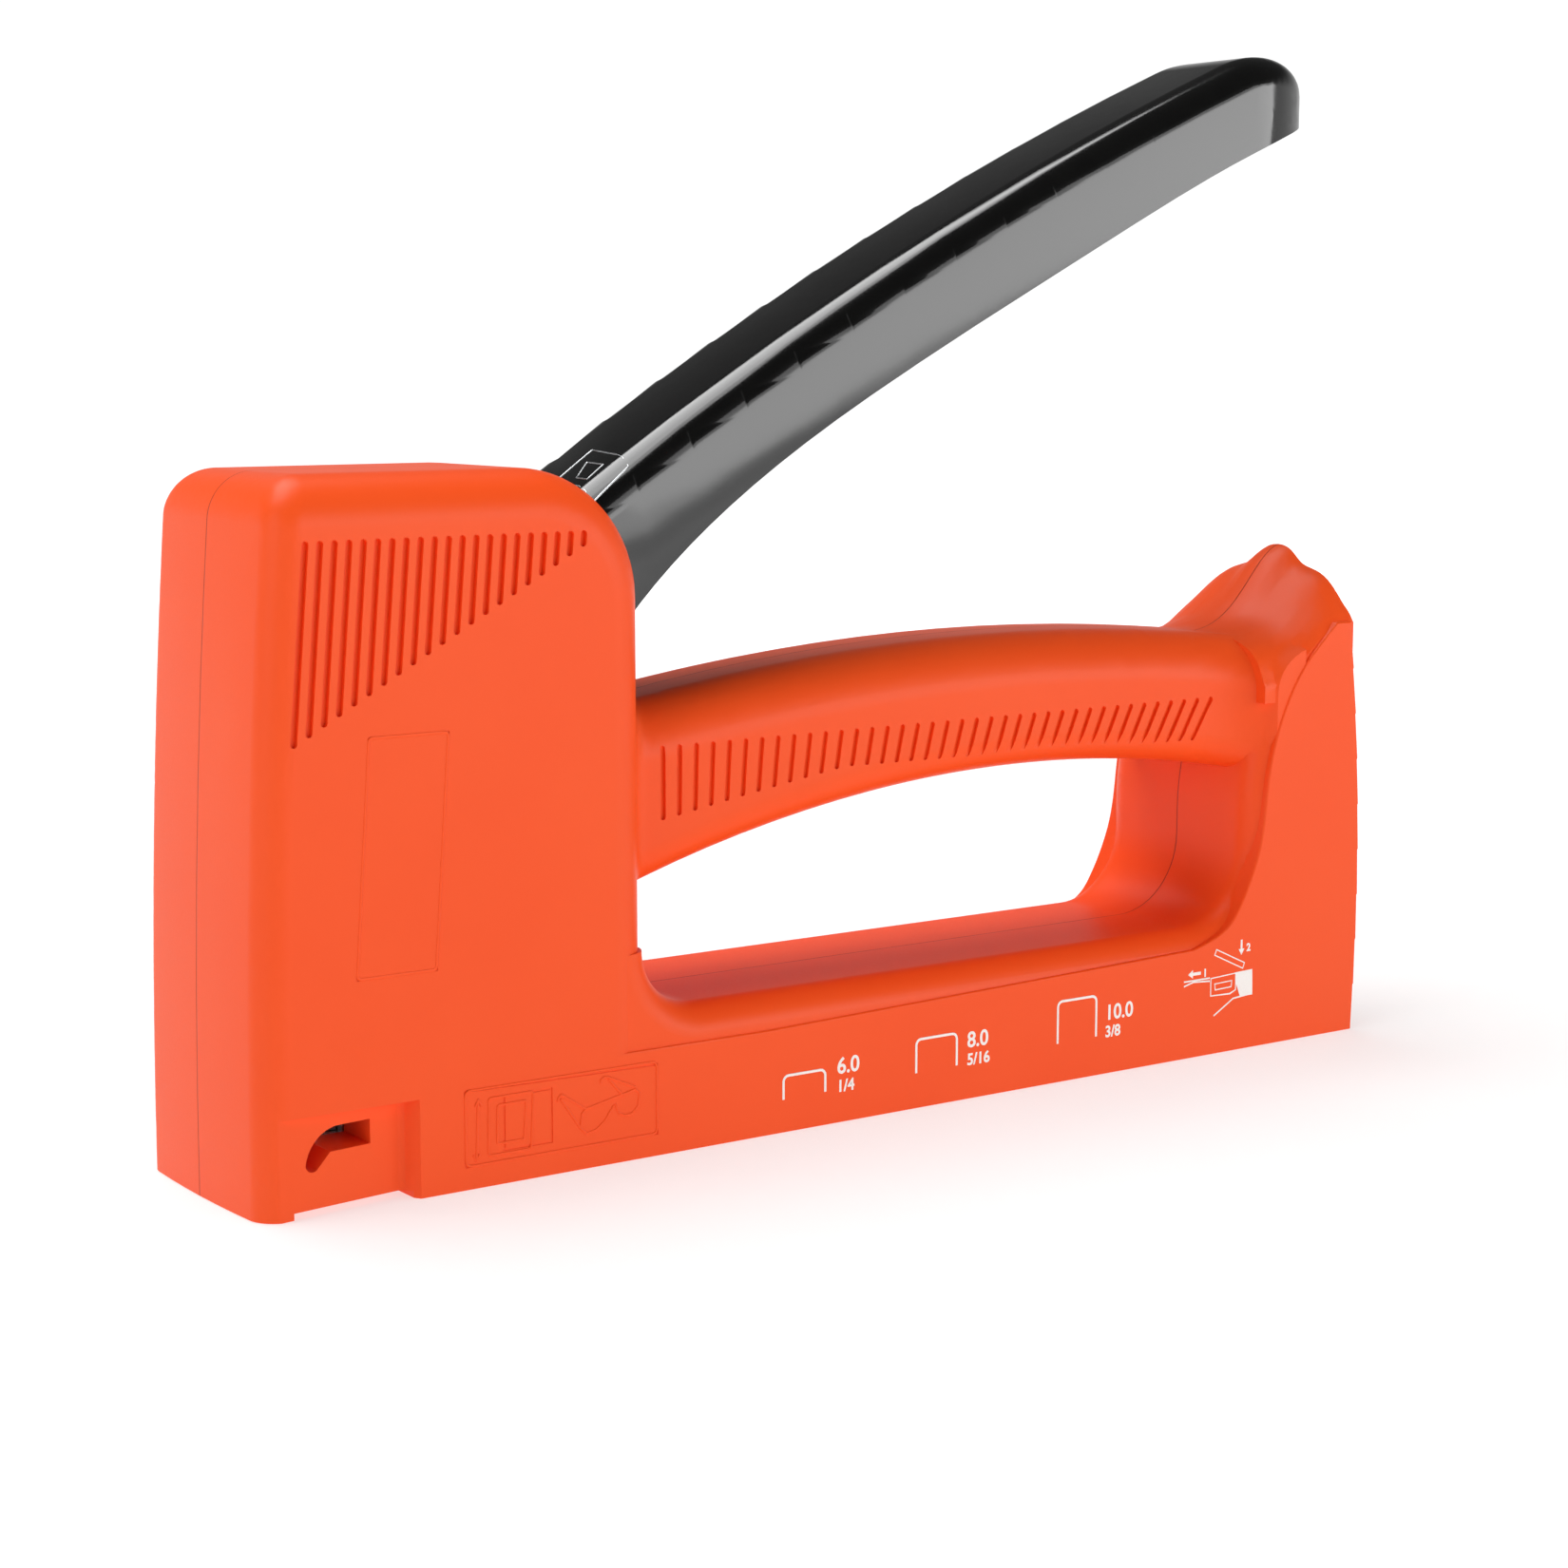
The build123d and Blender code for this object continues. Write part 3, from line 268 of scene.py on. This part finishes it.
nylon = grained("black_moulded_nylon", "101010", "1B1B1B", 0.40, 0.52, 0.35 * mm, 0.02 * mm)
rubber = grained("black_rubber", "141414", "1E1E1D", 0.72, 0.85, 0.5 * mm, 0.04 * mm)
ink = grained("white_pad_print_ink", "F2EDE8", "FCF9F5", 0.45, 0.55, 0.28 * mm, 0.01 * mm)
print("others:", nylon.name, rubber.name, ink.name)

# %% [markdown]
# ## Each part gets its finish
# The record names a material slot for every part, so one table from slot to finish is enough.
# The model's triangles arrive loose, face by face. On the four big glossy or satin pieces that
# shows as small flaws in the reflections, so three modifiers weld the triangles, split the real
# edges again by their angle, and let the large faces lead the shading of the roundings. A few
# ragged edges still stay in the reflection along the lever's flank.

# %% assign the finishes
finishes = {
    "casing": abs_plastic, "lever": enamel, "steel": zinc, "hardened_steel": ground,
    "spring_steel": wire, "black_plastic": nylon, "rubber": rubber,
}
for entry in frame["record"]["subparts"]:
    part = frame["nodes"][entry["node"]]
    part.data.materials.clear()
    part.data.materials.append(finishes[entry["material_slot"]])
    print(entry["node"], "->", finishes[entry["material_slot"]].name)

for part_name in ("shell_left", "shell_right", "handle_lever", "rail_cap"):
    part = frame["nodes"][part_name]
    weld = part.modifiers.new("weld", "WELD")
    weld.merge_threshold = 0.002 * mm
    edges = part.modifiers.new("edges", "EDGE_SPLIT")
    edges.split_angle = math.radians(32)
    lead = part.modifiers.new("lead", "WEIGHTED_NORMAL")
    lead.weight = 100
    print("smoothed", part_name)

# %% [markdown]
# ## Lines on the side of the casing
# A printed line and a moulded line differ only in how far they stand out. A curve with a round
# bevel follows the corners and closes its ends; flattened across the wall it becomes a thin film
# for ink or a low bead for moulding. The middle of the bead lies on the wall, so half is buried.

# %% line helpers
SIDE_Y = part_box("shell_left")[0].y


def bead_mesh(name, paths, width):
    """round beads, width thick, as one mesh; each path is its points and whether it closes"""
    curve = bpy.data.curves.new(name, "CURVE")
    curve.dimensions = "3D"
    curve.bevel_depth = width / 2
    curve.bevel_resolution = 2
    curve.use_fill_caps = True
    for points, closed in paths:
        spline = curve.splines.new("POLY")
        spline.points.add(len(points) - 1)
        for point, spot in zip(spline.points, points):
            point.co = (*spot, 1)
        spline.use_cyclic_u = closed
    source = bpy.data.objects.new(name + "_line", curve)
    mesh = bpy.data.meshes.new_from_object(source)
    bpy.data.objects.remove(source)
    return mesh


def placed(name, mesh):
    """a new object for a finished mesh"""
    piece = bpy.data.objects.new(name, mesh)
    bpy.context.scene.collection.objects.link(piece)
    return piece


def flat_line(name, paths, width, rise):
    """lines through (x, z) points in mm on the left side, width wide and rise proud, as one mesh"""
    runs = []
    for path in paths:
        closed = path[0] == path[-1]
        points = path[:-1] if closed else path
        runs.append(([(x * mm, 0, z * mm) for x, z in points], closed))
    mesh = bead_mesh(name, runs, width)
    mesh.transform(Matrix.Diagonal((1, 2 * rise / width, 1, 1)))
    mesh.transform(Matrix.Translation((0, SIDE_Y, 0)))
    return placed(name, mesh)


def dress(piece, body, material):
    """a finished piece takes its material, and moves with a body"""
    piece.data.materials.clear()
    piece.data.materials.append(material)
    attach(piece, body)
    print(piece.name, "on", body, len(piece.data.polygons), "faces")


def rounded(corners, radius, steps=4):
    """the corner points with each corner turned into a small arc, closed"""
    ring = []
    count = len(corners)
    for i, corner in enumerate(corners):
        here = Vector(corner)
        before = (Vector(corners[i - 1]) - here).normalized() * radius
        after = (Vector(corners[(i + 1) % count]) - here).normalized() * radius
        for k in range(steps + 1):
            t = k / steps
            spot = here + before * (1 - t) ** 2 + after * t**2
            ring.append((spot.x, spot.y))
    return ring + ring[:1]


# %% [markdown]
# ## Printed staples and sizes
# Three white staple outlines show which leg lengths fit. Each one is a line with rounded shoulders,
# with its leg length beside it in plain figures: millimetres above, inches below.

# %% staple prints
INK_RISE = 0.03 * mm
CAP_SHARE = 0.7   # height of a figure as a share of the font's size


def staple_path(left, low, width, leg):
    """a staple outline seen from the front, open at the bottom"""
    r = 0.7
    top = low + leg
    arc = [(left + r - r * math.cos(a), top - r + r * math.sin(a)) for a in (0, 0.39, 0.79, 1.18, 1.57)]
    other = [(2 * left + width - x, z) for x, z in reversed(arc)]
    return [(left, low), *arc, *other, (left + width, low + 0.1)]


outlines = [
    staple_path(62.5, 3.9, 6.0, 2.8), staple_path(82.0, 4.3, 6.2, 4.1), staple_path(104.2, 4.9, 6.3, 5.3),
]
dress(flat_line("staple_outlines", outlines, 0.34 * mm, INK_RISE), "casing", ink)


def figures(name, text, x, z, height):
    """plain figures on the left side with their lower left corner at (x, z), made a mesh"""
    letters = bpy.data.curves.new(name, "FONT")
    letters.body = text
    letters.size = height / CAP_SHARE * mm
    letters.extrude = 0.02 * mm
    letters.offset = 0.05 * mm
    source = bpy.data.objects.new(name + "_text", letters)
    mesh = bpy.data.meshes.new_from_object(source)
    bpy.data.objects.remove(source)
    mesh.transform(Matrix.Translation((x * mm, SIDE_Y, z * mm)) @ Matrix.Rotation(math.pi / 2, 4, "X"))
    dress(placed(name, mesh), "casing", ink)


for label, text, x, z, height in (
    ("size_6", "6.0", 70.2, 5.9, 1.9), ("size_6_inch", "1/4", 70.2, 3.7, 1.4),
    ("size_8", "8.0", 89.8, 6.4, 1.9), ("size_8_inch", "5/16", 89.8, 4.2, 1.4),
    ("size_10", "10.0", 112.0, 6.9, 1.9), ("size_10_inch", "3/8", 112.0, 4.7, 1.4),
):
    figures(label, text, x, z, height)

# %% [markdown]
# ## The loading pictogram
# A small drawing at the tail shows how staples go in: slide the rail out, then drop the strip in.
# It is built from the same lines, with filled shapes for the body of the tool and the two arrows.

# %% loading pictogram
strip = [(130.9, 13.7), (135.9, 11.4), (135.6, 10.7), (130.6, 13.0), (130.9, 13.7)]
thin_lines = [
    strip,
    [(125.3, 10.1), (129.8, 10.1)],
    [(125.3, 9.5), (127.0, 9.9), (129.8, 9.7)],
    [(130.0, 10.0), (134.4, 10.2), (134.4, 8.0), (133.4, 7.6), (130.0, 7.7), (130.0, 10.0)],
    [(130.7, 9.2), (133.7, 9.3), (133.6, 8.5), (130.8, 8.4), (130.7, 9.2)],
    [(130.6, 5.0), (134.0, 6.9), (136.6, 7.1)],
]
dress(flat_line("loading_lines", thin_lines, 0.22 * mm, INK_RISE), "casing", ink)


def filled(name, shapes, rise):
    """flat filled polygons through (x, z) points in mm on the left side, rise proud"""
    mesh = bpy.data.meshes.new(name)
    work = bmesh.new()
    for shape in shapes:
        work.faces.new([work.verts.new((x * mm, SIDE_Y + rise, z * mm)) for x, z in shape])
    grown = bmesh.ops.extrude_face_region(work, geom=work.faces[:])["geom"]
    front = [item for item in grown if isinstance(item, bmesh.types.BMVert)]
    bmesh.ops.translate(work, verts=front, vec=(0, -2 * rise, 0))
    bmesh.ops.recalc_face_normals(work, faces=work.faces[:])
    work.to_mesh(mesh)
    work.free()
    return placed(name, mesh)


gun_body = [(134.3, 10.3), (137.3, 10.4), (137.4, 7.0), (135.2, 7.0), (134.8, 8.0), (134.3, 9.2)]
arrow_left = [
    (126.0, 10.95), (126.8, 11.5), (126.8, 11.15), (128.2, 11.15), (128.2, 10.75), (126.8, 10.75),
    (126.8, 10.4),
]
arrow_down = [
    (135.3, 12.5), (134.8, 13.3), (135.15, 13.3), (135.15, 14.5), (135.45, 14.5), (135.45, 13.3),
    (135.8, 13.3),
]
dress(filled("loading_shapes", [gun_body, arrow_left, arrow_down], INK_RISE), "casing", ink)
figures("step_1", "1", 128.6, 10.4, 1.0)
figures("step_2", "2", 136.2, 12.9, 1.0)

# %% [markdown]
# ## Moulded marks on the lower front
# Low beads in the same plastic frame the two panels. Inside the lower one they draw a square for
# the staple's size, an arrow for its depth, and a plain pair of safety glasses seen at an angle.

# %% moulded marks
lower_frame = rounded([(20.4, 11.0), (45.0, 10.9), (45.0, 2.6), (20.4, 2.6)], 0.7)
size_square = rounded([(23.3, 9.8), (28.9, 9.8), (28.6, 3.4), (23.2, 3.4)], 0.4)
inner_square = rounded([(24.4, 8.9), (28.0, 8.9), (27.7, 4.6), (24.3, 4.6)], 0.3)
depth_arrow = [
    [(22.0, 9.9), (21.7, 3.0)], [(21.6, 9.1), (22.0, 9.9), (22.4, 9.1)],
    [(21.3, 3.8), (21.7, 3.0), (22.1, 3.8)],
]
brow = [(32.0, 8.1), (32.1, 8.6), (32.5, 8.9), (35.6, 6.8), (42.1, 8.1)]
near_lens = [(35.6, 6.8), (35.1, 6.3), (34.9, 4.7), (35.7, 4.0), (36.9, 4.2), (38.1, 5.1), (39.3, 6.7)]
far_lens = [(39.5, 6.8), (39.9, 5.7), (40.8, 5.3), (41.7, 5.4), (42.5, 6.2), (42.7, 7.6), (42.1, 8.1)]
near_arm = [(32.4, 8.4), (34.9, 4.7)]
far_arm = [(37.6, 9.4), (37.6, 9.8), (38.1, 10.1), (38.6, 10.0), (42.1, 8.4)]
far_arm_low = [(38.6, 9.8), (40.5, 7.6)]
glasses = [brow, near_lens, far_lens, near_arm, far_arm, far_arm_low]
label_frame = rounded([(9.7, 50.2), (19.1, 50.2), (17.2, 24.8), (7.8, 24.8)], 0.5)
moulded = [lower_frame, size_square, inner_square, *depth_arrow, *glasses]
dress(flat_line("moulded_marks", moulded, 0.3 * mm, 0.1 * mm), "casing", abs_plastic)
dress(flat_line("label_frame", [label_frame], 0.34 * mm, 0.05 * mm), "casing", abs_plastic)

# %% [markdown]
# ## The mark at the lever's root
# A small square with a plain figure in it is stamped through the enamel on the back of the lever
# and shows bare metal, a light line on black. The back is curved, so each point of the outline is
# dropped onto it from above.

# %% lever mark
MARK_STEPS = 6     # points along each straight run, so that it follows the curved back
MARK_SINK = 0.22   # how deep a bead's middle lies, as a share of its width
DROP_FROM = 200 * mm   # a height well above the whole tool
lever = frame["nodes"]["handle_lever"]
lever_tree = BVHTree.FromPolygons(
    [v.co for v in lever.data.vertices], [p.vertices for p in lever.data.polygons]
)


def on_lever(x, y):
    """the point of the lever's back above (x, y) in mm, and the direction the back faces there"""
    spot, normal, _, _ = lever_tree.ray_cast(Vector((x * mm, y * mm, DROP_FROM)), Vector((0, 0, -1)))
    return spot, normal


def lever_line(name, paths, width):
    """beads through (x, y) points in mm that lie on the lever's back, partly sunk into it"""
    runs = []
    for path in paths:
        fine = []
        for a, b in zip(path, path[1:]):
            for step in range(MARK_STEPS):
                share = step / MARK_STEPS
                fine.append((a[0] + (b[0] - a[0]) * share, a[1] + (b[1] - a[1]) * share))
        fine.append(path[-1])
        spots = []
        for x, y in fine:
            spot, normal = on_lever(x, y)
            spots.append(spot - normal * width * MARK_SINK)
        runs.append((spots, False))
    return placed(name, bead_mesh(name, runs, width))


mark = [
    [(40.9, -8.6), (46.1, -8.1), (46.9, 0.9), (41.7, 0.4), (40.9, -8.6)],
    [(44.7, -5.0), (44.9, -1.2), (42.4, -3.0), (42.3, -5.4), (44.7, -5.0)],
]
dress(lever_line("lever_mark", mark, 0.22 * mm), "lever", zinc)

# %% [markdown]
# ## Floor
# The tool stands on a wide white sheet with a painted glow: it gives off light by itself, though it is
# no lamp. The painted glow is weaker near the tool, where the soft boxes add their light and the tool
# leaves a faint shadow, and stronger farther out, so the sheet stays white to the horizon. It isn't
# part of the object.

# %% floor
# painted glow: the floor sheet emits light though it is no lamp
painted_glow_floor = grained("floor_painted_glow", "B8B8B8", "C0C0C0", 0.85, 0.95, 3 * mm, 0.02 * mm)
table = painted_glow_floor.node_tree
glow = table.nodes["Principled BSDF"].inputs
glow["Emission Color"].default_value = linear("FFFFFF")
across = add(table, "TexCoord")
distance = add(table, "VectorMath", {0: (across, "Object"), 1: (70 * mm, 0, 0)}, operation="DISTANCE")
# the painted glow's strength: lower near the tool, full white farther out
painted_glow_level = add(
    table, "MapRange",
    {"Value": (distance, "Value"), "From Min": 0.2, "From Max": 0.9, "To Min": 0.58, "To Max": 1.0},
    interpolation_type="SMOOTHSTEP",
)
table.links.new(painted_glow_level.outputs["Result"], glow["Emission Strength"])
floor_mesh = bpy.data.meshes.new("floor")
sheet = bmesh.new()
bmesh.ops.create_grid(sheet, x_segments=1, y_segments=1, size=8.0)
sheet.to_mesh(floor_mesh)
sheet.free()
floor = placed("floor", floor_mesh)
floor.location.z = model_low.z - 0.1 * mm
floor_mesh.materials.append(painted_glow_floor)
print("floor at", round(floor.location.z / mm, 2), "mm")

# %% [markdown]
# ## Room
# Black enamel shows whatever stands around it. The room is grey near the horizon and almost dark
# above, so the top of the lever stays black; the brightness is led by how high a direction points.
# Only the camera sees a white paper backdrop behind the tool.

# %% world
PAPER_WHITE = 1.05
world = bpy.data.worlds.new("studio")
world.use_nodes = True
bpy.context.scene.world = world
tree = world.node_tree
heading = add(tree, "TexCoord")
height = add(tree, "SeparateXYZ", {"Vector": (heading, "Generated")})
level = add(
    tree, "MapRange",
    {"Value": (height, "Z"), "From Min": 0.08, "From Max": 0.50, "To Min": 0.62, "To Max": 0.05},
    interpolation_type="SMOOTHSTEP",
)
sight = add(tree, "LightPath")
seen = add(tree, "Mix", {0: (sight, "Is Camera Ray"), 2: (level, "Result"), 3: PAPER_WHITE})
backdrop = tree.nodes["Background"]
backdrop.inputs["Color"].default_value = linear("FFFFFF")
tree.links.new(seen.outputs[0], backdrop.inputs["Strength"])
print("room ready")

# %% [markdown]
# ## Light
# Three soft boxes, described as seen from the camera. A low wide one on the right draws the grey
# band along the lever's flank, a large one overhead, a little behind, draws the bright line along
# its edge and lights the tops, and one on the left opens the nose. Boxes this wide leave hardly any
# hard shadow on the floor.

# %% soft boxes
TARGET = Vector((0.07, 0.0, 0.07))


def soft_box(name, spot, width, height, power):
    """a rectangular light at spot that faces the tool"""
    data = bpy.data.lights.new(name, "AREA")
    data.shape = "RECTANGLE"
    data.size = width
    data.size_y = height
    data.energy = power
    box = bpy.data.objects.new(name, data)
    box.location = spot
    box.rotation_euler = (TARGET - Vector(spot)).to_track_quat("-Z", "Y").to_euler()
    bpy.context.scene.collection.objects.link(box)
    print(name, power, "W")


soft_box("flank", (0.60, -0.80, 0.24), 1.0, 0.34, 3.9)
soft_box("overhead", (-0.15, 0.28, 1.08), 1.1, 0.8, 13.0)
soft_box("nose", (-0.95, -0.25, 0.38), 0.6, 0.5, 1.9)

# %% [markdown]
# ## Camera
# A longish lens from the front left, a little higher than the head and tilted down slightly.

# %% camera
camera_data = bpy.data.cameras.new("camera")
camera_data.lens = 68.5
camera_data.sensor_width = 36.0
camera = bpy.data.objects.new("camera", camera_data)
camera.location = (-132.81 * mm, -290.74 * mm, 89.99 * mm)
camera.rotation_euler = (math.radians(90 - 8.245), 0, math.radians(-35.3))
bpy.context.scene.collection.objects.link(camera)
bpy.context.scene.camera = camera
bpy.context.scene.view_settings.view_transform = "Standard"
print("camera", camera_data.lens, "mm")
